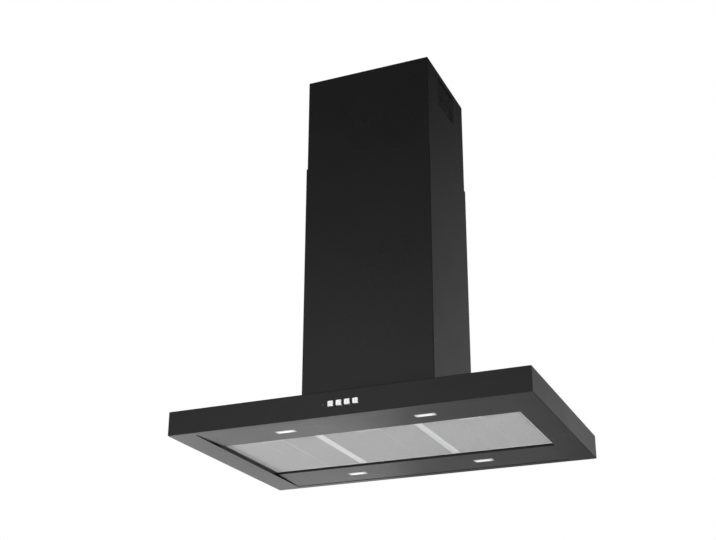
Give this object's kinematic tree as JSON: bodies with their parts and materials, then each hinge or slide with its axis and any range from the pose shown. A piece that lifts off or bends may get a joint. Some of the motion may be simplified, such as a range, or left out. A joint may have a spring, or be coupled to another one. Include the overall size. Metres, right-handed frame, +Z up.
{
  "type": "chimney range hood",
  "caption": "Ceiling-hung island range hood: flat black canopy with mesh filters, lamps and push buttons under a telescopic rectangular chimney.",
  "frame": {"origin": "centre of the ceiling plate's top face, where the hood meets the ceiling", "axes": "+Z up, front with the push buttons faces -Y, +X to the right of someone facing the front"},
  "size_m": [0.9, 0.603, 1.005],
  "materials": {
    "black_enamel": "satin black powder coat, fine texture",
    "galvanised_steel": "galvanised sheet, dull spangle",
    "zinc_screws": "zinc plated",
    "bright_steel": "ground steel",
    "black_plastic": "moulded, fine texture",
    "filter_aluminium": "satin rolled profile",
    "mesh_aluminium": "expanded metal mesh",
    "latch_steel": "brushed stainless",
    "lamp_housing": "die cast, dull",
    "lamp_diffuser": "frosted, lit from behind",
    "circuit_board": "green solder mask",
    "button_metal": "bright satin caps",
    "indicator_lens": "clear, unlit",
    "rubber_black": "soft black rubber",
    "grey_plastic": "glass-filled moulding",
    "motor_casing": "painted casing",
    "cable_sheath": "flexible sheath"
  },
  "bodies": {
    "ceiling_mount": {"ceiling_plate": "galvanised_steel", "ceiling_frame_screws": "zinc_screws", "upper_ladder_left": "galvanised_steel", "upper_ladder_right": "galvanised_steel", "chimney_upper": "black_enamel", "vent_grille_left": "black_plastic", "vent_grille_right": "black_plastic"},
    "hood": {"lower_ladder_left": "galvanised_steel", "lower_ladder_right": "galvanised_steel", "lower_cross_bars": "galvanised_steel", "height_clamp_bolts": "zinc_screws", "canopy_bolts": "zinc_screws", "chimney_lower": "black_enamel", "canopy_shell": "black_enamel", "air_chamber": "galvanised_steel", "filter_hinge_rod": "bright_steel", "front_light_strip": "black_enamel", "rear_light_strip": "black_enamel", "lamp_housing_front_left": "lamp_housing", "lamp_housing_front_right": "lamp_housing", "lamp_housing_rear_left": "lamp_housing", "lamp_housing_rear_right": "lamp_housing", "lamp_lens_front_left": "lamp_diffuser", "lamp_lens_front_right": "lamp_diffuser", "lamp_lens_rear_left": "lamp_diffuser", "lamp_lens_rear_right": "lamp_diffuser", "lamp_boards": "circuit_board", "control_housing": "black_plastic", "control_board": "circuit_board", "indicator_light": "indicator_lens", "blower_gasket": "rubber_black", "blower_box": "galvanised_steel", "blower_scroll": "grey_plastic", "motor_bracket": "galvanised_steel", "motor_mounts": "rubber_black", "blower_motor": "motor_casing", "outlet_collar": "black_plastic", "flap_pin": "bright_steel", "driver_box": "galvanised_steel", "power_board": "circuit_board", "driver_cover": "galvanised_steel", "cable_gland": "grey_plastic", "control_cable": "cable_sheath"},
    "filter_left": {"filter_frame_left": "filter_aluminium", "filter_mesh_left": "mesh_aluminium"},
    "filter_middle": {"filter_frame_middle": "filter_aluminium", "filter_mesh_middle": "mesh_aluminium"},
    "filter_right": {"filter_frame_right": "filter_aluminium", "filter_mesh_right": "mesh_aluminium"},
    "latch_left": {"filter_latch_left": "latch_steel"},
    "latch_middle": {"filter_latch_middle": "latch_steel"},
    "latch_right": {"filter_latch_right": "latch_steel"},
    "button_light_cap": {"button_light": "button_metal"},
    "button_speed_1_cap": {"button_speed_1": "button_metal"},
    "button_speed_2_cap": {"button_speed_2": "button_metal"},
    "button_speed_3_cap": {"button_speed_3": "button_metal"},
    "fan_rotor": {"impeller": "grey_plastic", "motor_shaft": "bright_steel"},
    "flap_left": {"outlet_flap_left": "black_plastic"},
    "flap_right": {"outlet_flap_right": "black_plastic"}
  },
  "joints": [
    {"name": "height_setting", "type": "slide", "parent": "ceiling_mount", "child": "hood", "axis": [0, 0, 1], "range_m": [-0.15, 0.15]},
    {"name": "filter_left_tilt", "type": "hinge", "parent": "hood", "child": "filter_left", "pos_m": [0, 0.1475, -0.9911], "axis": [1, 0, 0], "range_deg": [0, 60]},
    {"name": "filter_middle_tilt", "type": "hinge", "parent": "hood", "child": "filter_middle", "pos_m": [0, 0.1475, -0.9911], "axis": [1, 0, 0], "range_deg": [0, 60]},
    {"name": "filter_right_tilt", "type": "hinge", "parent": "hood", "child": "filter_right", "pos_m": [0, 0.1475, -0.9911], "axis": [1, 0, 0], "range_deg": [0, 60]},
    {"name": "latch_left_slide", "type": "slide", "parent": "filter_left", "child": "latch_left", "axis": [0, 1, 0], "range_m": [0, 0.0045], "stiffness_N_per_m": 400, "springref_m": -0.002},
    {"name": "latch_middle_slide", "type": "slide", "parent": "filter_middle", "child": "latch_middle", "axis": [0, 1, 0], "range_m": [0, 0.0045], "stiffness_N_per_m": 400, "springref_m": -0.002},
    {"name": "latch_right_slide", "type": "slide", "parent": "filter_right", "child": "latch_right", "axis": [0, 1, 0], "range_m": [0, 0.0045], "stiffness_N_per_m": 400, "springref_m": -0.002},
    {"name": "button_light_press", "type": "slide", "parent": "hood", "child": "button_light_cap", "axis": [0, 1, 0], "range_m": [0, 0.0025], "stiffness_N_per_m": 600, "springref_m": -0.001},
    {"name": "button_speed_1_press", "type": "slide", "parent": "hood", "child": "button_speed_1_cap", "axis": [0, 1, 0], "range_m": [0, 0.0025], "stiffness_N_per_m": 600, "springref_m": -0.001},
    {"name": "button_speed_2_press", "type": "slide", "parent": "hood", "child": "button_speed_2_cap", "axis": [0, 1, 0], "range_m": [0, 0.0025], "stiffness_N_per_m": 600, "springref_m": -0.001},
    {"name": "button_speed_3_press", "type": "slide", "parent": "hood", "child": "button_speed_3_cap", "axis": [0, 1, 0], "range_m": [0, 0.0025], "stiffness_N_per_m": 600, "springref_m": -0.001},
    {"name": "fan_spin", "type": "hinge", "parent": "hood", "child": "fan_rotor", "pos_m": [-0.046, 0, -0.812], "axis": [0, 1, 0], "continuous": true},
    {"name": "flap_left_open", "type": "hinge", "parent": "hood", "child": "flap_left", "pos_m": [0.0105, 0, -0.646], "axis": [0, 1, 0], "range_deg": [0, 75]},
    {"name": "flap_right_open", "type": "hinge", "parent": "hood", "child": "flap_right", "pos_m": [0.0105, 0, -0.646], "axis": [0, -1, 0], "range_deg": [0, 75]}
  ]
}
